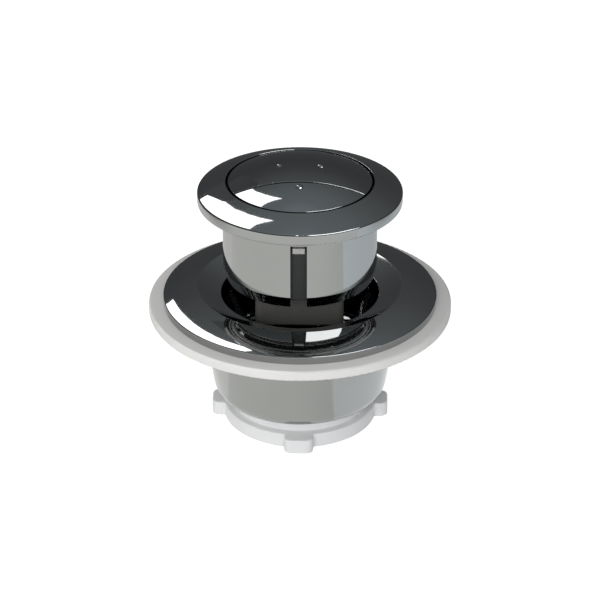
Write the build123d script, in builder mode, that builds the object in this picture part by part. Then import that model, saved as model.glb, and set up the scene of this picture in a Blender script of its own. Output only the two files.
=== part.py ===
from build123d import *
from math import radians, sqrt, tan
import os

os.makedirs("parts", exist_ok=True)

# A dual push button for a cistern lid, in millimetres, standing on its ring nut.
# +Z is up, the origin is the centre of the nut's underside, and the half-flush button faces -Y.
# The nut is backed off to the last turn of the stem, so the button unit stands raised above its seat.

# Ring nut
nut_flange_radius = 28.0
nut_flange_thickness = 5.3
nut_collar_radius = 25.0
nut_collar_wall = 2.7
nut_height = 9.3
nut_floor_thickness = 4.3
nut_lug_reach = 32.3
nut_lug_width = 10.5
nut_lug_corner = 2.6
nut_lug_root = 1.2
nut_edge_round = 0.6

# Clamp cup
cup_height = 33.4
cup_rim_radius = 36.3
cup_wall = 1.8
cup_taper_angle = 9.3
cup_foot_round = 6.0
cup_floor_thickness = 2.0
cup_hole_radius = 19.8
cup_ledge_width = 0.8
cup_ledge_depth = 1.0
spigot_clearance = 0.4
spigot_depth = 2.0

# Sealing washer
washer_radius = 54.7
washer_hole_radius = 34.9
washer_thickness = 3.8
washer_edge_round = 0.7

# Escutcheon ring
escutcheon_radius = 49.4
escutcheon_edge_height = 2.75
escutcheon_height = 6.0
escutcheon_bulge = 0.37
escutcheon_wall = 1.6
escutcheon_rim_wall = 1.5
recess_depth = 3.1
recess_sag = 0.2
recess_clearance = 0.4
neck_clearance = 0.8
neck_wall = 1.6
neck_depth = 7.4
support_ring_inset = 0.9
support_ring_wall = 1.6
escutcheon_edge_round = 0.4
polished_edge_round = 0.7

# Button housing
unit_raise = 33.65
flange_radius = 36.5
flange_edge_height = 3.7
crown_radius = 88.0
flange_wall = 1.8
flange_rib_count = 12
flange_rib_width = 1.2
skirt_radius = 27.7
skirt_wall = 1.3
skirt_depth = 29.3
skirt_taper_height = 4.2
skirt_taper = 1.3
skirt_lip_height = 1.5
skirt_lip_width = 0.9
slot_count = 4
slot_width = 5.8
slot_top_depth = 4.9
button_bore_depth = 4.0
shelf_width = 1.2

# Buttons
press_travel = 5.0
button_gap = 0.8
button_crown_radius = 57.0
button_edge_drop = 0.2
divide_gap = 0.4
divide_offset = 11.4
cap_wall = 1.4
cap_edge_round = 0.3
cap_stop_gap = 0.4
pip_radius = 1.8
pip_sink = 1.2
full_pip_spacing = 14.4
full_pip_setback = 0.5
half_pip_offset = 13.9

# Carriers inside the buttons
carrier_clearance = 0.15
carrier_rim = 1.8
carrier_pocket_depth = 2.6
socket_wall = 1.6
arm_width = 15.0
arm_thickness = 2.5
arm_post_depth = 4.4
spring_peg_radius = 2.5
spring_peg_height = 5.0
leg_width = 4.0
leg_thickness = 1.6
leg_clearance = 0.4
hook_width = 1.1
hook_height = 1.5
hook_gap = 0.25
full_leg_angle = 45
half_leg_angle = 60

# Push rods, one half-round rod to each button
rod_radius = 5.9
rod_half_gap = 0.4
rod_fit_clearance = 0.05
rod_grip = 6.0
rod_tip_height = 3.5
rod_tip_clearance = 1.0
tip_stud_radius = 1.4
tip_stud_length = 5.0
stud_clearance = 0.05

# Return springs
spring_wire_radius = 0.5
spring_coil_radius = 3.4
spring_turns = 8
spring_seat_gap = 0.05
spring_wall_gap = 5.7

# Guide insert and its catches
insert_clearance = 0.1
insert_wall = 1.5
insert_floor_thickness = 2.2
insert_top_gap = 0.4
insert_edge_chamfer = 0.8
catch_ring_wall = 1.6
catch_ring_height = 4.0
catch_width = 4.2
catch_height = 2.0
catch_drop = 1.1
catch_recess = 0.5
window_clearance = 0.15

# Guide block, stem and screws
block_width = 31.8
block_depth = 24.0
block_corner_round = 2.5
block_edge_chamfer = 0.8
block_floor_gap = 3.25
stem_radius = 9.3
stem_wall = 2.0
stem_end_height = 0.5
stem_head_radius = 10.2
stem_head_height = 2.2
stem_clearance = 0.1
stem_edge_chamfer = 0.6
coupling_bore_radius = 7.8
coupling_bore_length = 12.0
bush_flange_height = 3.0
bush_length = 8.0
bush_clearance = 0.1
rod_clearance = 0.1
screw_offset = 13.1
screw_shank_radius = 1.25
screw_head_radius = 2.5
screw_head_height = 1.7
screw_length = 10.0
screw_clearance = 0.05

# Heights of the stack, from the surface up
cup_base = nut_height
cup_rim_height = cup_base + cup_height
escutcheon_base = cup_rim_height + washer_thickness
escutcheon_top = escutcheon_base + escutcheon_height
recess_floor = escutcheon_top - recess_depth

# The recess, a shallow dish that the flange's rim beds in
recess_radius = flange_radius + recess_clearance
escutcheon_hole_radius = skirt_radius + neck_clearance
recess_slope = recess_depth / (recess_radius - escutcheon_hole_radius)
flange_seat = recess_floor + recess_slope * (flange_radius - escutcheon_hole_radius)

# Heights of the button unit
flange_base = flange_seat + unit_raise
flange_edge_top = flange_base + flange_edge_height
crown_centre = flange_edge_top - sqrt(crown_radius**2 - flange_radius**2)
skirt_end = flange_base - skirt_depth
slot_top = flange_base - slot_top_depth
shelf_height = flange_base - button_bore_depth
cap_base = shelf_height + press_travel + cap_stop_gap
insert_base = skirt_end + skirt_lip_height
insert_floor_top = insert_base + insert_floor_thickness
insert_top = shelf_height - insert_top_gap
block_base = nut_floor_thickness + block_floor_gap + unit_raise
stem_head_top = insert_base - bush_flange_height
stem_head_base = stem_head_top - stem_head_height
rod_tip_base = stem_end_height + coupling_bore_length + rod_tip_clearance
rod_base = rod_tip_base + rod_tip_height

# Radii that follow from the fits
nut_recess_radius = nut_collar_radius - nut_collar_wall
stem_bore_radius = stem_radius - stem_wall
opening_radius = skirt_radius - skirt_wall
housing_bore_radius = opening_radius - shelf_width
button_radius = opening_radius - button_gap
insert_radius = housing_bore_radius - insert_clearance
insert_inner_radius = insert_radius - insert_wall
spring_offset = insert_inner_radius - spring_wall_gap - spring_coil_radius - spring_wire_radius


def dish_underside(radius):
    """Height of the dish's underside at a radius, one wall below its upper face."""
    dish = recess_floor + recess_slope * (radius - escutcheon_hole_radius)
    return dish - recess_sag - escutcheon_wall


def ring_face(*corners):
    """A face in the XZ plane whose corners are (radius, height) pairs, ready to revolve."""
    with BuildSketch(Plane.XZ) as face:
        with BuildLine():
            Polyline(*corners, close=True)
        make_face()
    return face.sketch


def crown_height(radius):
    """Height of the housing's domed top at a radius."""
    return crown_centre + sqrt(crown_radius**2 - radius**2)


def half_round(radius, flat):
    """A disc of the given radius cut off at y = flat, keeping the side the flat faces away from."""
    with BuildSketch() as outline:
        Circle(radius)
        with Locations((0, flat)):
            edge = Align.MAX if flat > 0 else Align.MIN
            Rectangle(2 * radius, 2 * radius, align=(Align.CENTER, edge), mode=Mode.SUBTRACT)
    return outline.sketch


def button_outline(side, inset):
    """Outline of the button on one side of the dividing line, +1 behind it and -1 in front of it."""
    with BuildSketch() as outline:
        Circle(button_radius - inset)
        with Locations((0, side * (divide_gap / 2 + inset) - divide_offset)):
            edge = Align.MAX if side > 0 else Align.MIN
            Rectangle(4 * button_radius, 4 * button_radius, align=(Align.CENTER, edge), mode=Mode.SUBTRACT)
    return outline.sketch


def domed_block(side, inset):
    """Solid within a button's outline and under its dome, both drawn in by the inset."""
    with BuildPart() as block:
        with BuildSketch(Plane.XY.offset(cap_base)):
            add(button_outline(side, inset))
        extrude(amount=button_crown_centre + button_crown_radius - cap_base)
        with Locations((0, 0, button_crown_centre)):
            Sphere(button_crown_radius - inset, mode=Mode.INTERSECT)
    return block.part


def publish(part, name):
    """Label a finished piece and write it as parts/NAME.step."""
    part.label = name
    export_step(part, f"parts/{name}.step")



# Dome of the two buttons, which rises more steeply than the flange round it
button_edge_height = crown_height(opening_radius) - button_edge_drop
button_crown_centre = button_edge_height - sqrt(button_crown_radius**2 - button_radius**2)


# Ring nut, a moulded nut with four lugs for the fingers and a recess that centres the cup
with BuildPart() as ring_nut:
    with BuildSketch():
        Circle(nut_flange_radius)
        for turn in (0, 90):
            RectangleRounded(2 * nut_lug_reach, nut_lug_width, nut_lug_corner, rotation=turn)
        across = nut_lug_width / 2
        along = sqrt(nut_flange_radius**2 - across**2)
        for root_x, root_y in ((along, across), (across, along)):
            roots = [(root_x * i, root_y * j) for i in (-1, 1) for j in (-1, 1)]
            fillet([vertices().sort_by_distance(root)[0] for root in roots], nut_lug_root)
    extrude(amount=nut_flange_thickness)
    fillet(edges().group_by(Axis.Z)[-1], nut_edge_round)
    fillet(edges().group_by(Axis.Z)[0], nut_edge_round / 2)
    with BuildSketch(Plane.XY.offset(nut_floor_thickness)):
        Circle(nut_collar_radius)
    extrude(amount=nut_height - nut_floor_thickness)
    with BuildSketch(Plane.XY.offset(nut_floor_thickness)):
        Circle(nut_recess_radius)
    extrude(amount=nut_height - nut_floor_thickness, mode=Mode.SUBTRACT)
    with Locations((0, 0, nut_height)):
        Hole(stem_radius + stem_clearance)
    rim = edges().filter_by(GeomType.CIRCLE).group_by(Axis.Z)[-1]
    fillet(rim, nut_edge_round)
publish(ring_nut.part, "ring_nut")

# Clamp cup, a tapered bell whose rim presses up against the underside of the lid
taper_run = cup_height * tan(radians(cup_taper_angle))
cup_foot_radius = cup_rim_radius - taper_run
cup_inner_rim = cup_rim_radius - cup_wall
cup_floor_height = cup_base + cup_floor_thickness
cup_inner_foot = cup_inner_rim - taper_run * (cup_height - cup_floor_thickness) / cup_height
spigot_radius = nut_recess_radius - spigot_clearance
with BuildPart() as clamp_cup:
    with BuildSketch(Plane.XZ):
        with BuildLine():
            Polyline(
                (spigot_radius, cup_base),
                (cup_foot_radius, cup_base),
                (cup_rim_radius, cup_rim_height),
                (cup_inner_rim + cup_ledge_width, cup_rim_height),
                (cup_inner_rim + cup_ledge_width, cup_rim_height - cup_ledge_depth),
                (cup_inner_rim, cup_rim_height - cup_ledge_depth),
                (cup_inner_foot, cup_floor_height),
                (cup_hole_radius, cup_floor_height),
                (cup_hole_radius, cup_base - spigot_depth),
                (spigot_radius, cup_base - spigot_depth),
                close=True,
            )
        make_face()
        foot = vertices().sort_by_distance((cup_foot_radius, cup_base))[0]
        fillet(foot, cup_foot_round)
        inner_foot = vertices().sort_by_distance((cup_inner_foot, cup_floor_height))[0]
        fillet(inner_foot, cup_foot_round - cup_wall)
    revolve(axis=Axis.Z)
publish(clamp_cup.part, "clamp_cup")

# Sealing washer, the flat soft ring between the escutcheon and the lid
with BuildPart() as sealing_washer:
    with BuildSketch(Plane.XY.offset(cup_rim_height)):
        Circle(washer_radius)
        Circle(washer_hole_radius, mode=Mode.SUBTRACT)
    extrude(amount=washer_thickness)
    fillet(edges().filter_by(GeomType.CIRCLE), washer_edge_round)
publish(sealing_washer.part, "sealing_washer")

# Escutcheon ring, a thin dished shell with a rim and a support ring that stand on the washer
edge_height = escutcheon_base + escutcheon_edge_height
neck_outer_radius = escutcheon_hole_radius + neck_wall
neck_end = recess_floor - neck_depth
support_inner_radius = recess_radius - support_ring_inset
support_outer_radius = support_inner_radius + support_ring_wall
rim_inner_radius = escutcheon_radius - escutcheon_rim_wall
with BuildPart() as escutcheon_ring:
    with BuildSketch(Plane.XZ):
        with BuildLine():
            Polyline(
                (escutcheon_radius, edge_height),
                (escutcheon_radius, escutcheon_base),
                (rim_inner_radius, escutcheon_base),
                (rim_inner_radius, edge_height - escutcheon_wall),
                (support_outer_radius, escutcheon_top - escutcheon_wall),
                (support_outer_radius, escutcheon_base),
                (support_inner_radius, escutcheon_base),
                (support_inner_radius, dish_underside(support_inner_radius)),
                (neck_outer_radius, dish_underside(neck_outer_radius)),
                (neck_outer_radius, neck_end),
                (escutcheon_hole_radius, neck_end),
                (escutcheon_hole_radius, recess_floor),
            )
            ThreePointArc(
                (escutcheon_hole_radius, recess_floor),
                (
                    (escutcheon_hole_radius + recess_radius) / 2,
                    (recess_floor + escutcheon_top) / 2 - recess_sag,
                ),
                (recess_radius, escutcheon_top),
            )
            ThreePointArc(
                (recess_radius, escutcheon_top),
                (
                    (recess_radius + escutcheon_radius) / 2,
                    (escutcheon_top + edge_height) / 2 + escutcheon_bulge,
                ),
                (escutcheon_radius, edge_height),
            )
        make_face()
        outer_corner = vertices().sort_by_distance((escutcheon_radius, edge_height))[0]
        lip_corner = vertices().sort_by_distance((recess_radius, escutcheon_top))[0]
        hole_corner = vertices().sort_by_distance((escutcheon_hole_radius, recess_floor))[0]
        fillet([outer_corner, lip_corner, hole_corner], escutcheon_edge_round)
    revolve(axis=Axis.Z)
publish(escutcheon_ring.part, "escutcheon_ring")

# Button housing, the domed flange and its slotted skirt, moulded in one
flange_groove_inner = skirt_radius + flange_wall
flange_groove_outer = flange_radius - flange_wall
skirt_end_radius = skirt_radius - skirt_taper
lip_inner_radius = housing_bore_radius - skirt_lip_width
rim_foot = flange_base - recess_slope * (flange_radius - flange_groove_outer)
with BuildPart() as button_housing:
    with BuildSketch(Plane.XZ):
        with BuildLine():
            Polyline(
                (opening_radius, crown_height(opening_radius)),
                (opening_radius, shelf_height),
                (housing_bore_radius, shelf_height),
                (housing_bore_radius, insert_base),
                (lip_inner_radius, insert_base),
                (lip_inner_radius, skirt_end),
                (skirt_end_radius, skirt_end),
                (skirt_radius, skirt_end + skirt_taper_height),
                (skirt_radius, rim_foot),
                (flange_groove_outer, rim_foot),
                (flange_radius, flange_base),
                (flange_radius, flange_edge_top),
            )
            crown_middle = (opening_radius + flange_radius) / 2
            ThreePointArc(
                (flange_radius, flange_edge_top),
                (crown_middle, crown_height(crown_middle)),
                (opening_radius, crown_height(opening_radius)),
            )
        make_face()
        rim_corner = vertices().sort_by_distance((flange_radius, flange_edge_top))[0]
        fillet(rim_corner, polished_edge_round)
        opening_edge = (opening_radius, crown_height(opening_radius))
        opening_corner = vertices().sort_by_distance(opening_edge)[0]
        fillet(opening_corner, cap_edge_round)
        foot_corner = vertices().sort_by_distance((flange_radius, flange_base))[0]
        fillet(foot_corner, polished_edge_round / 2)
    revolve(axis=Axis.Z)
    groove = ring_face(
        (flange_groove_inner, rim_foot),
        (flange_groove_inner, crown_height(flange_groove_inner) - flange_wall),
        (flange_groove_outer, crown_height(flange_groove_outer) - flange_wall),
        (flange_groove_outer, rim_foot),
    )
    revolve(groove, axis=Axis.Z, mode=Mode.SUBTRACT)
    with BuildSketch(Plane.XY.offset(flange_base + flange_wall)):
        with PolarLocations((skirt_radius + flange_groove_outer) / 2, flange_rib_count):
            Rectangle(flange_groove_outer - skirt_radius + flange_wall, flange_rib_width)
    extrude(until=Until.NEXT)
    with BuildSketch(Plane.XY.offset(skirt_end)):
        with PolarLocations(skirt_radius, slot_count, start_angle=90):
            Rectangle(2 * (skirt_radius - lip_inner_radius) + skirt_wall, slot_width)
    extrude(amount=slot_top - skirt_end, mode=Mode.SUBTRACT)
publish(button_housing.part, "button_housing")

# Guide insert, the dark sleeve inside the skirt with a floor, spring pegs and catch windows
catch_top = slot_top - catch_drop
catch_base = catch_top - catch_height
catch_ring_base = catch_top + window_clearance - catch_ring_height
catch_ring_radius = insert_inner_radius - insert_clearance
with BuildPart() as guide_insert:
    with BuildSketch(Plane.XY.offset(insert_base)):
        Circle(insert_radius)
    extrude(amount=insert_top - insert_base)
    chamfer(edges().group_by(Axis.Z)[0], insert_edge_chamfer)
    with BuildSketch(Plane.XY.offset(insert_floor_top)):
        Circle(insert_inner_radius)
    extrude(amount=insert_top - insert_floor_top, mode=Mode.SUBTRACT)
    with BuildSketch(Plane.XY.offset(insert_base)):
        Circle(rod_radius + socket_wall + stem_clearance)
        with GridLocations(2 * screw_offset, 0, 2, 1):
            Circle(screw_shank_radius + screw_clearance)
    extrude(amount=insert_floor_thickness, mode=Mode.SUBTRACT)
    with BuildSketch(Plane.XY.offset(insert_floor_top)):
        with GridLocations(0, 2 * spring_offset, 1, 2):
            Circle(spring_peg_radius)
    extrude(amount=spring_peg_height)
    with BuildSketch(Plane.XY.offset(catch_base - window_clearance)):
        with PolarLocations(insert_radius, slot_count):
            Rectangle(4 * insert_wall, catch_width + 2 * window_clearance)
    extrude(amount=catch_height + 2 * window_clearance, mode=Mode.SUBTRACT)
publish(guide_insert.part, "guide_insert")

# Catch ring, the pale ring inside the sleeve whose four hooks show in the skirt's slots
with BuildPart() as catch_ring:
    with BuildSketch(Plane.XY.offset(catch_ring_base)):
        Circle(catch_ring_radius)
        Circle(catch_ring_radius - catch_ring_wall, mode=Mode.SUBTRACT)
    extrude(amount=catch_ring_height)
    with BuildSketch(Plane.XY.offset(catch_base)):
        hook_reach = skirt_radius - catch_recess
        hook_root = catch_ring_radius - catch_ring_wall / 2
        with PolarLocations((hook_reach + hook_root) / 2, slot_count):
            Rectangle(hook_reach - hook_root, catch_width)
    extrude(amount=catch_height)
publish(catch_ring.part, "catch_ring")

# Guide block under the insert, which holds the head of the stem
with BuildPart() as guide_block:
    with BuildSketch(Plane.XY.offset(block_base)):
        RectangleRounded(block_width, block_depth, block_corner_round)
    extrude(amount=insert_base - block_base)
    chamfer(edges().group_by(Axis.Z)[0], block_edge_chamfer)
    with BuildSketch(Plane.XY.offset(block_base)):
        Circle(stem_radius + stem_clearance)
    extrude(amount=stem_head_base - block_base, mode=Mode.SUBTRACT)
    with BuildSketch(Plane.XY.offset(stem_head_base)):
        Circle(stem_head_radius + stem_clearance)
    extrude(amount=insert_base - stem_head_base, mode=Mode.SUBTRACT)
    with BuildSketch(Plane.XY.offset(insert_base)):
        with GridLocations(2 * screw_offset, 0, 2, 1):
            Circle(screw_shank_radius + screw_clearance)
    extrude(amount=-screw_length, mode=Mode.SUBTRACT)
publish(guide_block.part, "guide_block")

# Stem, a plated tube with a head at the top and a coupling bore at its lower end
with BuildPart() as threaded_stem:
    with BuildSketch(Plane.XY.offset(stem_end_height)):
        Circle(stem_radius)
    extrude(amount=stem_head_top - stem_end_height)
    chamfer(edges().group_by(Axis.Z)[0], stem_edge_chamfer)
    with BuildSketch(Plane.XY.offset(stem_head_base)):
        Circle(stem_head_radius)
    extrude(amount=stem_head_height)
    with Locations((0, 0, stem_head_top)):
        Hole(stem_bore_radius)
    with BuildSketch(Plane.XY.offset(stem_end_height)):
        Circle(coupling_bore_radius)
    extrude(amount=coupling_bore_length, mode=Mode.SUBTRACT)
publish(threaded_stem.part, "threaded_stem")

# Bush in the top of the stem, which guides both push rods
with BuildPart() as rod_guide_bush:
    with BuildSketch(Plane.XY.offset(insert_base - bush_length)):
        Circle(stem_bore_radius - bush_clearance)
    extrude(amount=bush_length)
    with BuildSketch(Plane.XY.offset(stem_head_top)):
        Circle(stem_head_radius)
    extrude(amount=bush_flange_height)
    with Locations((0, 0, insert_base)):
        Hole(rod_radius + rod_clearance)
publish(rod_guide_bush.part, "rod_guide_bush")

# Two screws through the insert's floor into the block
screw_places = {"left": -screw_offset, "right": screw_offset}
for side, offset_x in screw_places.items():
    with BuildPart() as block_screw:
        with BuildSketch(Plane.XY.offset(insert_floor_top)) as head:
            with Locations((offset_x, 0)):
                Circle(screw_head_radius)
        extrude(amount=screw_head_height)
        fillet(edges().group_by(Axis.Z)[-1], screw_head_height / 2)
        with BuildSketch(Plane.XY.offset(insert_floor_top)):
            with Locations((offset_x, 0)):
                Circle(screw_shank_radius)
        extrude(amount=-screw_length)
    publish(block_screw.part, f"block_screw_{side}")

# The two buttons, each a plated cap on a carrier with a push rod, its tip and a return spring.
# The half-flush carrier reaches in under the full-flush button with an arm to get to its rod.
carrier_inset = cap_wall + carrier_clearance
leg_outer_radius = catch_ring_radius - catch_ring_wall - leg_clearance
leg_end = catch_ring_base - hook_gap - hook_height
carrier_ceiling = cap_base + carrier_pocket_depth
arm_top = cap_base - press_travel - cap_stop_gap
arm_end = divide_offset + divide_gap / 2 + carrier_inset + arm_post_depth
flushes = {
    "full_flush": {
        "side": 1,
        "rod_top": arm_top,
        "ceiling": carrier_ceiling,
        "legs": (full_leg_angle, 180 - full_leg_angle),
        "pips": [(edge * full_pip_spacing / 2, full_pip_setback) for edge in (-1, 1)],
    },
    "half_flush": {
        "side": -1,
        "rod_top": arm_top - arm_thickness,
        "ceiling": arm_top - arm_thickness,
        "legs": (-half_leg_angle, half_leg_angle - 180),
        "pips": [(0, -half_pip_offset)],
    },
}

for name, flush in flushes.items():
    side, rod_top, ceiling = flush["side"], flush["rod_top"], flush["ceiling"]
    flat = side * rod_half_gap
    stud_place = (0, side * (rod_half_gap + rod_radius) / 2)

    with BuildPart() as button:
        add(domed_block(side, 0))
        top_face = faces().sort_by(Axis.Z)[-1]
        fillet(top_face.edges(), cap_edge_round)
        add(domed_block(side, cap_wall), mode=Mode.SUBTRACT)
        for pip_x, pip_y in flush["pips"]:
            reach = sqrt(button_crown_radius**2 - pip_x**2 - pip_y**2)
            with Locations((pip_x, pip_y, button_crown_centre + reach - pip_sink)):
                Sphere(pip_radius, arc_size1=0, align=(Align.CENTER, Align.CENTER, Align.MIN))
    publish(button.part, f"{name}_button")

    with BuildPart() as carrier:
        add(domed_block(side, carrier_inset))
        with BuildSketch(Plane.XY.offset(cap_base)):
            add(button_outline(side, carrier_inset + carrier_rim))
        extrude(amount=carrier_pocket_depth, mode=Mode.SUBTRACT)
        if ceiling < arm_top:
            with BuildSketch(Plane.XY.offset(ceiling)):
                with Locations((0, flat)):
                    Rectangle(arm_width, arm_end + flat, align=(Align.CENTER, Align.MAX))
            extrude(amount=arm_thickness)
            with BuildSketch(Plane.XY.offset(arm_top)):
                with Locations((0, -arm_end)):
                    Rectangle(arm_width, arm_post_depth, align=(Align.CENTER, Align.MIN))
            extrude(amount=carrier_ceiling - arm_top)
        else:
            with BuildSketch(Plane.XY.offset(rod_top)):
                add(half_round(rod_radius + socket_wall, flat))
            extrude(amount=carrier_ceiling - rod_top)
        with BuildSketch(Plane.XY.offset(rod_top)):
            add(half_round(rod_radius + socket_wall, flat))
            add(half_round(rod_radius + rod_fit_clearance, flat), mode=Mode.SUBTRACT)
        extrude(amount=-rod_grip)
        with BuildSketch(Plane.XY.offset(ceiling)):
            with Locations((0, side * spring_offset)):
                Circle(spring_peg_radius)
        extrude(amount=-spring_peg_height)
        for leg_angle in flush["legs"]:
            with BuildSketch(Plane.XY.offset(leg_end)):
                with PolarLocations(leg_outer_radius - leg_thickness / 2, 1, leg_angle):
                    Rectangle(leg_thickness, leg_width)
            extrude(amount=carrier_ceiling - leg_end)
            with BuildSketch(Plane.XY.offset(leg_end)):
                with PolarLocations(leg_outer_radius + hook_width / 2, 1, leg_angle):
                    Rectangle(hook_width, leg_width)
            extrude(amount=hook_height)
    publish(carrier.part, f"{name}_carrier")

    with BuildPart() as rod:
        with BuildSketch(Plane.XY.offset(rod_base)):
            add(half_round(rod_radius, flat))
        extrude(amount=rod_top - rod_base)
        with BuildSketch(Plane.XY.offset(rod_base)):
            with Locations(stud_place):
                Circle(tip_stud_radius + stud_clearance)
        extrude(amount=tip_stud_length + stud_clearance, mode=Mode.SUBTRACT)
    publish(rod.part, f"{name}_rod")

    with BuildPart() as rod_tip:
        with BuildSketch(Plane.XY.offset(rod_tip_base)):
            add(half_round(rod_radius, flat))
        extrude(amount=rod_tip_height)
        fillet(edges().group_by(Axis.Z)[0], tip_stud_radius / 2)
        with BuildSketch(Plane.XY.offset(rod_base)):
            with Locations(stud_place):
                Circle(tip_stud_radius)
        extrude(amount=tip_stud_length)
    publish(rod_tip.part, f"{name}_rod_tip")

    spring_length = ceiling - insert_floor_top - 2 * spring_seat_gap
    coil_height = spring_length - 2 * spring_wire_radius
    coil_foot = (0, side * spring_offset, insert_floor_top + spring_seat_gap + spring_wire_radius)
    with BuildPart() as spring:
        with BuildLine() as coil:
            Helix(coil_height / spring_turns, coil_height, spring_coil_radius, coil_foot)
        with BuildSketch(Plane(coil.line @ 0, z_dir=coil.line % 0)):
            Circle(spring_wire_radius)
        sweep(path=coil.line)
    publish(spring.part, f"{name}_spring")
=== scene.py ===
from collections import namedtuple
from math import cos, pi, radians, sin

import bpy
from bpy.props import FloatProperty, FloatVectorProperty, PointerProperty
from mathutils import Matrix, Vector


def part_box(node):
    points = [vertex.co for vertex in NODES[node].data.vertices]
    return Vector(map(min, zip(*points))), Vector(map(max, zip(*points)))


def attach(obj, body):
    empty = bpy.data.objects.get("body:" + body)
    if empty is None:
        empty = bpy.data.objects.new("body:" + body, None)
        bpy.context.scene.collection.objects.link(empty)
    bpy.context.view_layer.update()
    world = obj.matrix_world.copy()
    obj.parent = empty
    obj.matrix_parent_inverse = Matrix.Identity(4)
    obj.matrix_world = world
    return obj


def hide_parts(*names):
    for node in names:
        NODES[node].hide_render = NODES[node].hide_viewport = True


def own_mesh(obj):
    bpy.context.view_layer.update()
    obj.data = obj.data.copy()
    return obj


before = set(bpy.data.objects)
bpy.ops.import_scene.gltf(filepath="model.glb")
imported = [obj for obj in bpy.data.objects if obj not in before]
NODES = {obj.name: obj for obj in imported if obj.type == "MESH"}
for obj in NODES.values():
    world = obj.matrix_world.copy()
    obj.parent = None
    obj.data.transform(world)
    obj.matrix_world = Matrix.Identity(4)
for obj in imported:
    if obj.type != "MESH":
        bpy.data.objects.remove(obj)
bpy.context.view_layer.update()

bl_info = {
    "name": "Push button cistern actuator",
    "version": (1, 0, 0),
    "blender": (4, 5, 0),
    "location": "3D View > Sidebar > Cistern button",
    "description": "Finishes and detail for a dual push button with its clamp cup and ring nut",
    "category": "Object",
}

MM = 0.001

# the kind of finish that each slot gets, and the nodes that differ from their slot, which get lighter and
# darker copies of one material as painted light and shade: the guide block a lighter copy of the dark
# plastic, the full-flush button a darker copy of the plating
SLOTS = {
    "plated_housing": "plated", "plated_buttons": "plated", "plated_ring": "plated", "plated_cup": "plated",
    # painted light: the stem's kind is a lighter copy of the plating, brighter than the other plated parts
    "plated_stem": "stem", "white_seal": "seal", "white_plastic": "white", "dark_plastic": "dark",
    "grey_plastic": "grey", "spring_steel": "spring", "screw_steel": "screw",
}
PAINTED_LIGHT_AND_SHADE_NODES = {"guide_block": "block", "full_flush_button": "button"}

# each rounding's centre by radius and height and its own radius, in mm, and the slope in degrees of the face
# above it
Rounding = namedtuple("Rounding", "centre height radius slope body slot finish")
EDGES = {
    "flange_edge": Rounding(35.8, 89.222, 0.7, 24.2, "button_unit", "plated_housing", "bright_plating"),
    "escutcheon_edge": Rounding(49.0, 48.975, 0.4, 21.0, "clamp_stack", "plated_ring", "bright_plating"),
    # painted shade: the full button's edge gets the darker copy of the plating, like the full button
    "full_button_edge": Rounding(25.3, 93.211, 0.3, 26.4, "full_button", "plated_buttons", "button_plating_painted_shade"),
    "half_button_edge": Rounding(25.3, 93.211, 0.3, 26.4, "half_button", "plated_buttons", "bright_plating"),
}

# tones that mirrors see: of the floor by turns from the camera's side, of the sky by the height of the ray
CLOSE_TONES = {
    0.0: (0.80, 0.81, 0.77), 0.088: (0.72, 0.73, 0.70), 0.093: (0.88, 0.90, 0.90), 0.3: (0.92, 0.94, 0.95),
    0.5: (0.75, 0.76, 0.76), 0.70: (0.95, 0.95, 0.93), 0.778: (1.0, 1.0, 0.98), 0.783: (0.86, 0.87, 0.83),
    1.0: (0.80, 0.81, 0.77),
}
NEAR_TONES = {
    0.0: (0.88, 0.89, 0.85), 0.08: (0.86, 0.87, 0.83), 0.172: (0.77, 0.78, 0.75), 0.176: (0.86, 0.93, 0.97),
    0.30: (0.76, 0.81, 0.84), 0.40: (0.60, 0.62, 0.63), 0.5: (0.50, 0.51, 0.51), 0.60: (0.70, 0.70, 0.68),
    0.684: (0.92, 0.92, 0.90), 0.688: (0.86, 0.87, 0.83), 1.0: (0.88, 0.89, 0.85),
}
FAR_TONES = {
    0.0: (0.92, 0.92, 0.88), 0.20: (0.85, 0.90, 0.92), 0.27: (0.30, 0.32, 0.33), 0.34: (0.07, 0.072, 0.075),
    0.66: (0.07, 0.072, 0.075), 0.73: (0.30, 0.30, 0.29), 0.80: (0.95, 0.95, 0.92), 1.0: (0.92, 0.92, 0.88),
}
# distances in metres over which the floor's tones change to the next set
NEAR_START, NEAR_FULL, FAR_START, FAR_FULL = 0.113, 0.124, 0.198, 0.215
SKY_TONES = {
    0.0: (0.07, 0.073, 0.077), 0.3: (0.08, 0.082, 0.087), 0.5: (0.10, 0.104, 0.109),
    0.74: (0.16, 0.172, 0.178), 0.94: (0.225, 0.257, 0.27), 0.985: (0.28, 0.32, 0.34),
    1.0: (0.48, 0.51, 0.53),
}
FLAG_TONE = SKY_TONES[0.5]

# where lamps and cards are aimed from and at
SPOT = Vector((0, 0, 0.09))
# azimuth and elevation of the corners of the softbox behind on the left and of the one in front on the right
SOFTBOX = ((-154.2, 24.5), (-151.6, 32), (-149.2, 40), (-147.4, 46), (-147.7, 54), (-150, 59.5),
           (-156, 64.6), (-147.5, 62.8), (-141, 61.5), (-131, 59.5), (-133, 52), (-137.5, 44),
           (-140.5, 36), (-144, 30.5), (-149, 24.5))
FRONT_BOX = ((14, 40), (38, 38), (76, 36), (82, 56), (40, 60), (12, 62))
# corners in mm of a dark card that keeps the softbox off the full-flush button
FLAG = ((-50.5, 30, 106), (-50.5, 30, 130), (-44, 30, 134), (-32, 30, 136), (-32, 30, 106))


def colour_prop(name, description, default):
    return FloatVectorProperty(name=name, description=description, default=default, size=3,
                               subtype="COLOR", min=0.0, max=1.0)


def share_prop(name, description, default):
    return FloatProperty(name=name, description=description, default=default, min=0.0, max=1.0,
                         subtype="FACTOR")


def length_prop(name, description, default):
    return FloatProperty(name=name, description=description, default=default, min=0.0, precision=5,
                         subtype="DISTANCE", unit="LENGTH")


def strength_prop(name, description, default):
    return FloatProperty(name=name, description=description, default=default, min=0.0)


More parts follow.
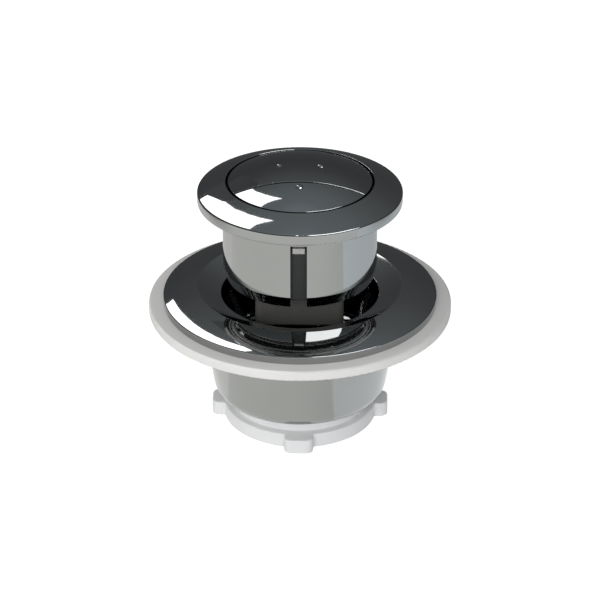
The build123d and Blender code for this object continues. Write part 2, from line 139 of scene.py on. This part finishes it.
class PlatingFinish(bpy.types.PropertyGroup):
    colour: colour_prop("Plating colour", "Colour of the bright plating", (0.40, 0.405, 0.405))
    roughness: share_prop("Plating roughness", "How much the plating blurs what it mirrors", 0.045)
    ripple: length_prop("Ripple", "Width of the moulding's slow ripples under the plating", 14 * MM)
    ripple_depth: length_prop("Ripple depth", "Depth of the slow ripples", 0.004 * MM)


class PlasticFinish(bpy.types.PropertyGroup):
    white: colour_prop("White plastic", "Colour of the ring nut and the carriers", (0.80, 0.81, 0.82))
    seal: colour_prop("Washer", "Colour of the soft sealing washer", (0.80, 0.80, 0.79))
    dark: colour_prop("Dark plastic", "Colour of the guide insert", (0.034, 0.035, 0.036))
    # painted light: the guide block's colour is the dark plastic lifted well above the guide insert's, to
    # brighten it in the recess's shade
    block: colour_prop("Block plastic", "Colour of the guide block", (0.095, 0.094, 0.090))
    grey: colour_prop("Grey plastic", "Colour of the catch ring and bush", (0.42, 0.42, 0.415))


class ThreadSetting(bpy.types.PropertyGroup):
    pitch: length_prop("Pitch", "Rise of the thread in one turn", 3 * MM)
    depth: length_prop("Thread depth", "From the crest down to the root", 0.8 * MM)
    crest: length_prop("Crest width", "Width of the flat on top of the thread", 0.8 * MM)
    flank: length_prop("Flank width", "Width of each sloping flank, seen from the side", 0.45 * MM)
    relief: length_prop("Relief", "Plain neck between the thread and the stem's head", 2 * MM)
    bottom: length_prop("Stem end", "Height of the stem's lower end", 0.5 * MM)
    shoulder: length_prop("Shoulder", "Height of the underside of the stem's head", 53.0 * MM)
    top: length_prop("Stem top", "Height of the top of the stem's head", 55.2 * MM)
    radius: length_prop("Stem radius", "Radius over the thread's crests", 9.3 * MM)
    head_radius: length_prop("Head radius", "Radius of the stem's head", 10.2 * MM)
    chamfer: length_prop("Chamfer", "Chamfer at the lower end and round the head", 0.5 * MM)
    bore: length_prop("Bore radius", "Radius of the bore that holds both rods", 7.3 * MM)
    socket: length_prop("Coupling radius", "Radius of the wider bore at the lower end", 7.8 * MM)
    socket_depth: length_prop("Coupling depth", "Depth of the wider bore", 12 * MM)


class SpringSetting(bpy.types.PropertyGroup):
    wire: length_prop("Wire radius", "Radius of the spring wire", 0.5 * MM)
    stroke: length_prop("Stroke", "Travel of each button", 5 * MM)
    turns: FloatProperty(name="Turns", description="Working turns of each spring", default=7, min=2)


class BackingSetting(bpy.types.PropertyGroup):
    inner: length_prop("Inner radius", "Inner radius of the ring that backs the flange", 29.55 * MM)
    outer: length_prop("Outer radius", "Outer radius of the ring that backs the flange", 34.65 * MM)
    base: length_prop("Base", "Height of its underside", 86.4 * MM)
    thickness: length_prop("Thickness", "Thickness of the ring", 0.8 * MM)
    bead: length_prop("Bead", "Width and height of its two beads", 0.35 * MM)


class EdgeSetting(bpy.types.PropertyGroup):
    skin: length_prop("Skin", "Height of the polished edges over the solids' own rounding", 0.015 * MM)
    wall: length_prop("Edge wall", "Depth of the polished edges under the solids' own rounding", 0.16 * MM)
    divide: length_prop("Divide", "From the axis to the line that parts the two buttons", 11.4 * MM)
    gap: length_prop("Divide gap", "Width of the gap between the two buttons", 0.4 * MM)


class StudioSetting(bpy.types.PropertyGroup):
    lens: FloatProperty(name="Lens", description="Focal length of the camera", default=152.5, min=1.0,
                        subtype="DISTANCE_CAMERA", unit="CAMERA")
    reach: length_prop("Camera distance", "From the camera to the axis, level", 0.8139)
    height: length_prop("Camera height", "Height of the camera over the floor", 0.4780)
    aim: length_prop("Aim height", "Height on the axis that the camera looks at", 0.0455)
    floor: length_prop("Floor radius", "Radius of the white floor", 6.0)
    floor_glow: share_prop("Floor glow", "Share of the floor's white that no shadow can take", 0.73)
    turn: FloatProperty(name="Camera turn", description="Turn of the camera round the axis",
                        default=radians(1), subtype="ANGLE", unit="ROTATION")
    fill: share_prop("Fill", "Even light from all round on what does not mirror", 0.34)
    key: strength_prop("Key light", "Power of the front lamp in watts", 15.0)
    side: strength_prop("Side light", "Power of the lamp on the left in watts", 4.5)
    edge: strength_prop("Edge light", "Power of the lamp on the right in watts", 0.9)
    softbox: strength_prop("Softbox", "Strength of the mirrored card behind on the left", 4.0)
    front_box: strength_prop("Front box", "Strength of the mirrored card in front on the right", 5.0)


# materials

def new_material(name, kind="ShaderNodeBsdfPrincipled"):
    """A material with one shader of a kind, its tree and the shader."""
    mat = bpy.data.materials.new(name)
    mat.use_nodes = True
    tree = mat.node_tree
    tree.nodes.clear()
    out = tree.nodes.new("ShaderNodeOutputMaterial")
    shader = tree.nodes.new(kind)
    tree.links.new(shader.outputs[0], out.inputs["Surface"])
    return mat, tree, shader


def noise(tree, scale, detail=2.0, rough=0.5, stretch=(1, 1, 1)):
    """A cloudy value fixed to the object, scale patches to the metre."""
    place = tree.nodes.new("ShaderNodeTexCoord")
    turn = tree.nodes.new("ShaderNodeMapping")
    turn.inputs["Scale"].default_value = stretch
    tex = tree.nodes.new("ShaderNodeTexNoise")
    tex.inputs["Scale"].default_value = scale
    tex.inputs["Detail"].default_value = detail
    tex.inputs["Roughness"].default_value = rough
    tree.links.new(place.outputs["Object"], turn.inputs["Vector"])
    tree.links.new(turn.outputs["Vector"], tex.inputs["Vector"])
    return tex.outputs["Fac"]


def spread(tree, fac, low, high):
    """The middle range of a noise, stretched from low to high."""
    ramp = tree.nodes.new("ShaderNodeMapRange")
    ramp.inputs["From Min"].default_value = 0.3
    ramp.inputs["From Max"].default_value = 0.7
    ramp.inputs["To Min"].default_value = low
    ramp.inputs["To Max"].default_value = high
    tree.links.new(fac, ramp.inputs["Value"])
    return ramp.outputs["Result"]


def tint(tree, fac, colour, dark_share):
    """A colour that varies down to dark_share of itself."""
    mix = tree.nodes.new("ShaderNodeMix")
    mix.data_type = "RGBA"
    mix.inputs["A"].default_value = (*[c * dark_share for c in colour], 1)
    mix.inputs["B"].default_value = (*colour, 1)
    tree.links.new(fac, mix.inputs["Factor"])
    return mix.outputs["Result"]


def bump(tree, shader, fac, depth):
    node = tree.nodes.new("ShaderNodeBump")
    node.inputs["Distance"].default_value = depth
    node.inputs["Strength"].default_value = 1.0
    tree.links.new(fac, node.inputs["Height"])
    tree.links.new(node.outputs["Normal"], shader.inputs["Normal"])


def plating(name, finish, share=1.0):
    """Bright plating with a light haze and slow ripples; share scales its colour, so that one plating gives
    lighter and darker copies as painted light and shade.
    """
    mat, tree, shader = new_material(name)
    colour = [c * share for c in finish.colour]
    haze = noise(tree, 1 / (9 * MM), 3.0)
    shader.inputs["Metallic"].default_value = 1.0
    tree.links.new(tint(tree, spread(tree, haze, 0.0, 1.0), colour, 0.975), shader.inputs["Base Color"])
    tree.links.new(spread(tree, haze, finish.roughness * 0.7, finish.roughness * 1.3),
                   shader.inputs["Roughness"])
    bump(tree, shader, noise(tree, 1 / finish.ripple, 0.0), finish.ripple_depth)
    return mat


def moulded(name, colour, rough, grain, depth, darker=0.94, specular=0.5):
    """Moulded plastic or foam with a fine grain of a width and depth."""
    mat, tree, shader = new_material(name)
    shader.inputs["Specular IOR Level"].default_value = specular
    cloud = noise(tree, 1 / (12 * MM), 3.0)
    fine = noise(tree, 1 / grain, 3.0, 0.6)
    tree.links.new(tint(tree, spread(tree, cloud, 0.0, 1.0), colour, darker), shader.inputs["Base Color"])
    tree.links.new(spread(tree, fine, rough * 0.85, rough * 1.15), shader.inputs["Roughness"])
    bump(tree, shader, fine, depth)
    return mat


def steel(name, colour, rough):
    """Drawn steel with marks along its height."""
    mat, tree, shader = new_material(name)
    shader.inputs["Metallic"].default_value = 1.0
    drawn = noise(tree, 1 / (0.4 * MM), 2.0, 0.5, (1, 1, 0.15))
    tree.links.new(tint(tree, spread(tree, drawn, 0.0, 1.0), colour, 0.85), shader.inputs["Base Color"])
    tree.links.new(spread(tree, drawn, rough * 0.8, rough * 1.25), shader.inputs["Roughness"])
    bump(tree, shader, drawn, 0.004 * MM)
    return mat


class CISTERN_OT_finishes(bpy.types.Operator):
    """Gives every carried-over node its plating, plastic or steel"""
    bl_idname = "cistern.finishes"
    bl_label = "Finishes"

    def execute(self, context):
        plate, plastic = context.scene.cistern_plating, context.scene.cistern_plastic
        kinds = {
            "plated": plating("bright_plating", plate),
            # painted shade: a darker copy of the plating, at 0.84 of its colour, for the full-flush button
            # and its edge
            "button": plating("button_plating_painted_shade", plate, 0.84),
            # painted light: a lighter copy of the plating, at 1.1 of its colour, for the stem deep in the
            # cup
            "stem": plating("stem_plating_painted_light", plate, 1.1),
            "seal": moulded("washer_foam", plastic.seal, 0.62, 0.5 * MM, 0.02 * MM, 0.97, 0.3),
            "white": moulded("white_moulding", plastic.white, 0.38, 0.7 * MM, 0.01 * MM, 0.97),
            "dark": moulded("dark_moulding", plastic.dark, 0.5, 0.5 * MM, 0.012 * MM, 0.85, 0.35),
            # painted light: a lighter copy of the dark moulding for the guide block, standing in for light
            # in its shaded recess
            "block": moulded("block_moulding_painted_light", plastic.block, 0.55, 0.5 * MM, 0.012 * MM, 0.88, 0.35),
            "grey": moulded("grey_moulding", plastic.grey, 0.45, 0.5 * MM, 0.01 * MM),
            "spring": steel("drawn_wire", (0.5, 0.5, 0.49), 0.25),
            "screw": steel("screw_steel", (0.45, 0.45, 0.44), 0.3),
        }
        for node in NODES.values():
            slot = node.data.materials[0].name.split(".")[0]
            if slot not in SLOTS:
                raise RuntimeError(f"{node.name} has the unknown finish {slot}")
            node.material_slots[0].material = kinds[PAINTED_LIGHT_AND_SHADE_NODES.get(node.name, SLOTS[slot])]
        return {"FINISHED"}


# pieces

def choose(made):
    """Makes one object the only selected one and the active one."""
    bpy.ops.object.select_all(action="DESELECT")
    bpy.context.view_layer.objects.active = made
    made.select_set(True)


def start_profile(name, points):
    """A bent line through points, each a radius and a height, left in edit mode."""
    bpy.ops.object.select_all(action="DESELECT")
    bpy.ops.mesh.primitive_plane_add(size=MM)
    made = bpy.context.object
    made.name = name
    bpy.ops.object.mode_set(mode="EDIT")
    bpy.ops.mesh.merge(type="CENTER")
    bpy.ops.transform.translate(value=(points[0][0], 0, points[0][1]))
    for (r0, z0), (r1, z1) in zip(points, points[1:]):
        bpy.ops.mesh.extrude_region_move(TRANSFORM_OT_translate={"value": (r1 - r0, 0, z1 - z0)})
    bpy.ops.mesh.select_all(action="SELECT")
    return made


def tidy_mesh(made):
    """Joins what touches, turns the faces outward and leaves edit mode."""
    bpy.ops.object.mode_set(mode="EDIT")
    bpy.ops.mesh.select_all(action="SELECT")
    bpy.ops.mesh.remove_doubles(threshold=0.001 * MM)
    bpy.ops.mesh.normals_make_consistent(inside=False)
    bpy.ops.object.mode_set(mode="OBJECT")


def turned(name, points, steps=96):
    """A body turned round the Z axis from a profile of radii and heights."""
    made = start_profile(name, points)
    bpy.ops.mesh.spin(steps=steps, angle=2 * pi, center=(0, 0, 0), axis=(0, 0, 1))
    tidy_mesh(made)
    return made


def combine(made, other, operation):
    """Joins, cuts or keeps the overlap of made with other, which is used up."""
    choose(made)
    bpy.ops.object.modifier_add(type="BOOLEAN")
    step = made.modifiers[-1]
    step.operation, step.object, step.solver = operation, other, "EXACT"
    bpy.ops.object.modifier_apply(modifier=step.name)
    bpy.data.objects.remove(other)


def smooth(made, angle=30):
    choose(made)
    bpy.ops.object.shade_smooth_by_angle(angle=radians(angle))


def threaded_rod(thread, start, end):
    """A solid rod whose surface is one endless right-hand thread, cut level at both ends."""
    half_root = (thread.pitch - thread.crest) / 2 - thread.flank
    crest_radius, root_radius = thread.radius + 0.05 * MM, thread.radius - thread.depth
    z = start - thread.pitch
    profile = [(root_radius, z)]
    for step, radius in ((half_root, root_radius), (thread.flank, crest_radius),
                         (thread.crest, crest_radius), (thread.flank, root_radius),
                         (half_root, root_radius)):
        z += step
        profile.append((radius, z))
    made = start_profile("rod", profile)
    bpy.ops.object.mode_set(mode="OBJECT")
    bpy.ops.object.modifier_add(type="SCREW")
    step = made.modifiers[-1]
    step.angle, step.screw_offset, step.axis = 2 * pi, thread.pitch, "Z"
    step.iterations = int((end - start) / thread.pitch) + 3
    step.steps = step.render_steps = 72
    bpy.ops.object.modifier_apply(modifier=step.name)
    tidy_mesh(made)
    bpy.ops.object.mode_set(mode="EDIT")
    for height, above in ((start, False), (end, True)):
        bpy.ops.mesh.select_all(action="SELECT")
        bpy.ops.mesh.bisect(plane_co=(0, 0, height), plane_no=(0, 0, 1), use_fill=True,
                            clear_inner=not above, clear_outer=above, threshold=1e-7)
    bpy.ops.object.mode_set(mode="OBJECT")
    tidy_mesh(made)
    return made


def finish_piece(made, name, body, material, node=None):
    """Places a finished piece in the frame with its body, slot and material."""
    made.name = name
    choose(made)
    bpy.ops.object.transform_apply(location=True, rotation=True, scale=True)
    made.data.materials.clear()
    made.data.materials.append(material)
    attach(made, body)
    if node:
        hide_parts(node)


class CISTERN_OT_stem(bpy.types.Operator):
    """Cuts the hollow stem with its screw thread, its head and its coupling bore"""
    bl_idname = "cistern.stem"
    bl_label = "Threaded stem"

    def execute(self, context):
        t = context.scene.cistern_thread
        over = MM
        stem = threaded_rod(t, t.bottom, t.shoulder - t.relief)
        blank = turned("blank", [(0, t.bottom - over), (t.radius - t.chamfer - over, t.bottom - over),
                                 (t.radius, t.bottom + t.chamfer), (t.radius, t.top), (0, t.top)])
        combine(stem, blank, "INTERSECT")
        neck_base, neck = t.shoulder - t.relief - over, t.radius - t.depth - 0.02 * MM
        head = turned("head", [(0, neck_base), (neck, neck_base), (neck, t.shoulder),
                               (t.head_radius, t.shoulder), (t.head_radius, t.top - t.chamfer),
                               (t.head_radius - t.chamfer, t.top), (0, t.top)])
        combine(stem, head, "UNION")
        bore = turned("bore", [(0, t.bottom - over), (t.socket, t.bottom - over),
                               (t.socket, t.bottom + t.socket_depth), (t.bore, t.bottom + t.socket_depth),
                               (t.bore, t.top + over), (0, t.top + over)])
        combine(stem, bore, "DIFFERENCE")
        smooth(stem)
        if len(stem.data.polygons) < 1000:
            raise RuntimeError("the stem's thread was lost")
        finish_piece(stem, "stem_with_thread", "button_unit",
                     bpy.data.materials["stem_plating_painted_light"], "threaded_stem")
        return {"FINISHED"}


class CISTERN_OT_springs(bpy.types.Operator):
    """Winds the return spring of each button with a closed coil at both ends"""
    bl_idname = "cistern.springs"
    bl_label = "Return springs"

    def execute(self, context):
        setting = context.scene.cistern_spring
        for side in ("full", "half"):
            low, high = (Vector(c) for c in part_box(f"{side}_flush_spring"))
            middle = (low + high) / 2
            foot, top = low.z + setting.wire, high.z - setting.wire
            coil = (high.x - low.x) / 2 - setting.wire
            bpy.ops.object.select_all(action="DESELECT")
            bpy.ops.mesh.primitive_circle_add(vertices=12, radius=setting.wire, location=(coil, 0, foot),
                                              rotation=(pi / 2, 0, 0))
            wound = context.object
            bpy.ops.object.transform_apply(location=True, rotation=True, scale=True)
            bpy.ops.object.modifier_add(type="SCREW")
            step = wound.modifiers[-1]
            step.angle, step.axis, step.iterations = 2 * pi, "Z", int(setting.turns)
            step.screw_offset = (top - foot) / int(setting.turns)
            step.steps = step.render_steps = 40
            bpy.ops.object.modifier_apply(modifier=step.name)
            rings = []
            for height in (foot, top):
                bpy.ops.mesh.primitive_torus_add(location=(0, 0, height), major_radius=coil,
                                                 minor_radius=setting.wire, major_segments=60,
                                                 minor_segments=12)
                rings.append(context.object)
            for ring in rings:
                ring.select_set(True)
            wound.select_set(True)
            context.view_layer.objects.active = wound
            bpy.ops.object.join()
            tidy_mesh(wound)
            wound.location = (middle.x, middle.y, 0)
            smooth(wound, 50)
            finish_piece(wound, f"{side}_spring_wound", "button_unit",
                         bpy.data.materials["drawn_wire"], f"{side}_flush_spring")
            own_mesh(wound)
        return {"FINISHED"}


class CISTERN_OT_backing(bpy.types.Operator):
    """Turns the plated ring with two beads that closes the flange from below"""
    bl_idname = "cistern.backing"
    bl_label = "Flange backing"

    def execute(self, context):
        b = context.scene.cistern_backing
        points = [(b.inner, b.base + b.thickness), (b.inner, b.base)]
        for share in (0.3, 0.7):
            middle = b.inner + share * (b.outer - b.inner)
            points += [(middle - 2 * b.bead, b.base), (middle - b.bead, b.base - b.bead),
                       (middle + b.bead, b.base - b.bead), (middle + 2 * b.bead, b.base)]
        points += [(b.outer, b.base), (b.outer, b.base + b.thickness), (b.inner, b.base + b.thickness)]
        ring = turned("flange_backing", points, 128)
        smooth(ring, 50)
        finish_piece(ring, "flange_backing", "button_unit",
                     bpy.data.materials["bright_plating"])
        return {"FINISHED"}


def arc(edge, radius, steps=10, start=radians(-4), past=radians(4)):
    """Points round an edge's centre, from just under its side to just past the face above it."""
    sweep = pi / 2 - radians(edge.slope) + past - start
    turns = [start + step * sweep / steps for step in range(steps + 1)]
    return [(edge.centre * MM + radius * cos(a), edge.height * MM + radius * sin(a)) for a in turns]


class CISTERN_OT_edges(bpy.types.Operator):
    """Turns the finely polished roundings of the flange, the escutcheon and both buttons"""
    bl_idname = "cistern.edges"
    bl_label = "Polished edges"

    def execute(self, context):
        e = context.scene.cistern_edge
        behind = {"full_button": 1, "half_button": -1}
        for name, edge in EDGES.items():
            outline = arc(edge, edge.radius * MM + e.skin) + arc(edge, edge.radius * MM - e.wall)[::-1]
            made = turned(name, outline + outline[:1], 144)
            side = behind.get(edge.body)
            if side:
                bpy.ops.object.mode_set(mode="EDIT")
                bpy.ops.mesh.select_all(action="SELECT")
                bpy.ops.mesh.bisect(plane_co=(0, -e.divide + side * e.gap / 2, 0), plane_no=(0, side, 0),
                                    clear_inner=True, use_fill=True, threshold=1e-7)
                tidy_mesh(made)
            smooth(made, 50)
            finish_piece(made, name, edge.body, bpy.data.materials[edge.finish])
        return {"FINISHED"}


# studio

def mirrored_or_seen(tree):
    """1 for rays from the camera, from mirrors and through glass."""
    path = tree.nodes.new("ShaderNodeLightPath")
    last = path.outputs["Is Camera Ray"]
    for name in ("Is Glossy Ray", "Is Transmission Ray"):
        add = tree.nodes.new("ShaderNodeMath")
        add.operation = "MAXIMUM"
        tree.links.new(last, add.inputs[0])
        tree.links.new(path.outputs[name], add.inputs[1])
        last = add.outputs[0]
    return last


def by_side(tree, tones):
    """A colour that changes round the Z axis: tones maps turns from the camera's side to colours."""
    place = tree.nodes.new("ShaderNodeTexCoord")
    turn = tree.nodes.new("ShaderNodeMapping")
    turn.inputs["Rotation"].default_value = (0, 0, radians(-90))
    sweep = tree.nodes.new("ShaderNodeTexGradient")
    sweep.gradient_type = "RADIAL"
    ramp = tree.nodes.new("ShaderNodeValToRGB")
    tree.links.new(place.outputs["Object"], turn.inputs["Vector"])
    tree.links.new(turn.outputs["Vector"], sweep.inputs["Vector"])
    tree.links.new(sweep.outputs["Fac"], ramp.inputs["Fac"])
    fill_ramp(ramp, tones)
    return ramp.outputs["Color"]


def fill_ramp(ramp, tones):
    """Sets a ramp's stops from a dictionary of places and colours."""
    stops = ramp.color_ramp.elements
    for place, colour in list(tones.items())[2:]:
        stops.new(place)
    for stop, (place, colour) in zip(stops, sorted(tones.items())):
        stop.position, stop.color = place, (*colour, 1)


def near_and_far(tree):
    """The floor's mirrored tone: close round the object, near it and further out."""
    place = tree.nodes.new("ShaderNodeTexCoord")
    length = tree.nodes.new("ShaderNodeVectorMath")
    length.operation = "LENGTH"
    tree.links.new(place.outputs["Object"], length.inputs[0])
    last = by_side(tree, CLOSE_TONES)
    for start, end, tones in ((NEAR_START, NEAR_FULL, NEAR_TONES), (FAR_START, FAR_FULL, FAR_TONES)):
        reach = tree.nodes.new("ShaderNodeMapRange")
        reach.inputs["From Min"].default_value = start
        reach.inputs["From Max"].default_value = end
        mix = tree.nodes.new("ShaderNodeMix")
        mix.data_type = "RGBA"
        tree.links.new(length.outputs["Value"], reach.inputs["Value"])
        tree.links.new(reach.outputs["Result"], mix.inputs["Factor"])
        tree.links.new(last, mix.inputs["A"])
        tree.links.new(by_side(tree, tones), mix.inputs["B"])
        last = mix.outputs["Result"]
    return last


def floor_material(glow):
    """White with the object's shadow to the camera, toned by side to mirrors, and clear from below."""
    mat, tree, pick = new_material("floor_white", "ShaderNodeMixShader")
    matt = tree.nodes.new("ShaderNodeBsdfDiffuse")
    matt.inputs["Color"].default_value = (0.8, 0.8, 0.8, 1)
    light = tree.nodes.new("ShaderNodeEmission")
    tree.links.new(mirrored_or_seen(tree), scaled(tree, glow, light.inputs["Strength"]))
    both = tree.nodes.new("ShaderNodeAddShader")
    tree.links.new(matt.outputs[0], both.inputs[0])
    tree.links.new(light.outputs[0], both.inputs[1])
    sides = tree.nodes.new("ShaderNodeEmission")
    tree.links.new(near_and_far(tree), sides.inputs["Color"])
    path = tree.nodes.new("ShaderNodeLightPath")
    mirrored = tree.nodes.new("ShaderNodeMixShader")
    tree.links.new(path.outputs["Is Glossy Ray"], mirrored.inputs["Fac"])
    tree.links.new(both.outputs[0], mirrored.inputs[1])
    tree.links.new(sides.outputs[0], mirrored.inputs[2])
    clear = tree.nodes.new("ShaderNodeBsdfTransparent")
    back = tree.nodes.new("ShaderNodeNewGeometry")
    tree.links.new(back.outputs["Backfacing"], pick.inputs["Fac"])
    tree.links.new(mirrored.outputs[0], pick.inputs[1])
    tree.links.new(clear.outputs[0], pick.inputs[2])
    return mat


def scaled(tree, factor, target):
    """A socket that is multiplied by factor on its way to target."""
    times = tree.nodes.new("ShaderNodeMath")
    times.operation = "MULTIPLY"
    times.inputs[1].default_value = factor
    tree.links.new(times.outputs[0], target)
    return times.inputs[0]


def glow_material(name, colour, strength):
    mat, tree, light = new_material(name, "ShaderNodeEmission")
    light.inputs["Color"].default_value = (*colour, 1)
    light.inputs["Strength"].default_value = strength
    return mat


def towards(azimuth, elevation):
    """A direction: azimuth 0 is the camera's side, and positive is to its right."""
    a, e = radians(azimuth), radians(elevation)
    return Vector((sin(a) * cos(e), -cos(a) * cos(e), sin(e)))


def lamp(name, azimuth, elevation, distance, width, height, power, colour=(1, 1, 1)):
    """A lamp aimed at the object that mirrors don't show."""
    ray = towards(azimuth, elevation)
    data = bpy.data.lights.new(name, "AREA")
    data.shape = "RECTANGLE"
    data.size, data.size_y = width, height
    data.energy = power
    data.color = colour
    made = bpy.data.objects.new(name, data)
    bpy.context.collection.objects.link(made)
    made.location = SPOT + distance * ray
    made.rotation_mode = "QUATERNION"
    made.rotation_quaternion = ray.to_track_quat("Z", "Y")
    made.visible_glossy = False


def softbox(name, corners, distance, material):
    """A flat card with its corners in given directions, seen only in mirrors."""
    rays = [towards(azimuth, elevation) for azimuth, elevation in corners]
    facing = sum(rays, Vector()).normalized()
    card(name, [SPOT + ray * distance / ray.dot(facing) for ray in rays], material)


def card(name, places, material):
    """A flat card with its corners in given places, seen only in mirrors."""
    bpy.ops.mesh.primitive_circle_add(vertices=len(places), radius=1, fill_type="NGON")
    made = bpy.context.object
    made.name = name
    for vertex, place in zip(made.data.vertices, places):
        vertex.co = place
    made.data.materials.append(material)
    made.visible_camera = made.visible_diffuse = made.visible_shadow = made.visible_transmission = False


def paint_world(fill, sky):
    """White to the camera, a soft sky to mirrors that is dark low down, and an even grey to the rest."""
    world = bpy.data.worlds.new("studio")
    bpy.context.scene.world = world
    world.use_nodes = True
    tree = world.node_tree
    tree.nodes.clear()
    out = tree.nodes.new("ShaderNodeOutputWorld")
    path = tree.nodes.new("ShaderNodeLightPath")
    room = tree.nodes.new("ShaderNodeBackground")
    room.inputs["Color"].default_value = (*fill, 1)
    place = tree.nodes.new("ShaderNodeTexCoord")
    split = tree.nodes.new("ShaderNodeSeparateXYZ")
    ramp = tree.nodes.new("ShaderNodeValToRGB")
    fill_ramp(ramp, sky)
    tree.links.new(place.outputs["Generated"], split.inputs[0])
    tree.links.new(split.outputs["Z"], ramp.inputs["Fac"])
    mirrored = tree.nodes.new("ShaderNodeBackground")
    tree.links.new(ramp.outputs["Color"], mirrored.inputs["Color"])
    white = tree.nodes.new("ShaderNodeBackground")
    white.inputs["Color"].default_value = (1, 1, 1, 1)
    last = room
    for name, light in (("Is Glossy Ray", mirrored), ("Is Camera Ray", white)):
        pick = tree.nodes.new("ShaderNodeMixShader")
        tree.links.new(path.outputs[name], pick.inputs["Fac"])
        tree.links.new(last.outputs[0], pick.inputs[1])
        tree.links.new(light.outputs[0], pick.inputs[2])
        last = pick
    tree.links.new(last.outputs[0], out.inputs["Surface"])


class CISTERN_OT_studio(bpy.types.Operator):
    """Lays the white floor, hangs the lamps and cards and sets up the camera"""
    bl_idname = "cistern.studio"
    bl_label = "Studio"

    def execute(self, context):
        studio = context.scene.cistern_studio
        bpy.ops.mesh.primitive_circle_add(vertices=96, radius=studio.floor, fill_type="NGON",
                                          location=(0, 0, -0.0002))
        ground = context.object
        ground.name = "floor"
        ground.data.materials.append(floor_material(studio.floor_glow))
        paint_world((studio.fill,) * 3, SKY_TONES)
        softbox("softbox", SOFTBOX, 1.0, glow_material("softbox_white", (1, 1, 1), studio.softbox))
        softbox("front_box", FRONT_BOX, 1.0, glow_material("front_white", (1, 1, 1), studio.front_box))
        card("flag", [Vector(corner) * MM for corner in FLAG], glow_material("flag_grey", FLAG_TONE, 1.0))
        lamp("key", -8, 20, 1.6, 1.3, 0.8, studio.key)
        lamp("side", -80, 30, 1.5, 1.0, 0.8, studio.side, (1.0, 0.97, 0.92))
        lamp("edge", 75, 25, 1.5, 1.0, 0.8, studio.edge, (0.93, 0.97, 1.0))
        eye = bpy.data.cameras.new("camera")
        eye.lens = studio.lens
        camera = bpy.data.objects.new("camera", eye)
        context.collection.objects.link(camera)
        camera.location = (studio.reach * sin(studio.turn), -studio.reach * cos(studio.turn), studio.height)
        aim = Vector((0, 0, studio.aim)) - camera.location
        camera.rotation_mode = "QUATERNION"
        camera.rotation_quaternion = aim.to_track_quat("-Z", "Y")
        context.scene.camera = camera
        context.scene.view_settings.view_transform = "Standard"
        return {"FINISHED"}


class CISTERN_PT_panel(bpy.types.Panel):
    bl_idname = "CISTERN_PT_panel"
    bl_label = "Push button cistern actuator"
    bl_space_type = "VIEW_3D"
    bl_region_type = "UI"
    bl_category = "Cistern button"

    def draw(self, context):
        for operator in OPERATORS:
            self.layout.operator(operator.bl_idname)
        for group in GROUPS:
            box = self.layout.box()
            for key in GROUPS[group].__annotations__:
                box.prop(getattr(context.scene, group), key)


OPERATORS = (CISTERN_OT_finishes, CISTERN_OT_stem, CISTERN_OT_springs, CISTERN_OT_backing,
             CISTERN_OT_edges, CISTERN_OT_studio)
GROUPS = {
    "cistern_plating": PlatingFinish, "cistern_plastic": PlasticFinish, "cistern_thread": ThreadSetting,
    "cistern_spring": SpringSetting, "cistern_backing": BackingSetting, "cistern_edge": EdgeSetting,
    "cistern_studio": StudioSetting,
}


def register():
    for cls in (*GROUPS.values(), *OPERATORS, CISTERN_PT_panel):
        bpy.utils.register_class(cls)
    for name, group in GROUPS.items():
        setattr(bpy.types.Scene, name, PointerProperty(type=group))


def unregister():
    for name in GROUPS:
        delattr(bpy.types.Scene, name)
    for cls in (CISTERN_PT_panel, *reversed(OPERATORS), *GROUPS.values()):
        bpy.utils.unregister_class(cls)


def main():
    register()
    bpy.ops.object.select_all(action="DESELECT")
    bpy.ops.cistern.finishes()
    bpy.ops.cistern.stem()
    bpy.ops.cistern.springs()
    bpy.ops.cistern.backing()
    bpy.ops.cistern.edges()
    bpy.ops.cistern.studio()


if __name__ == "__main__":
    main()
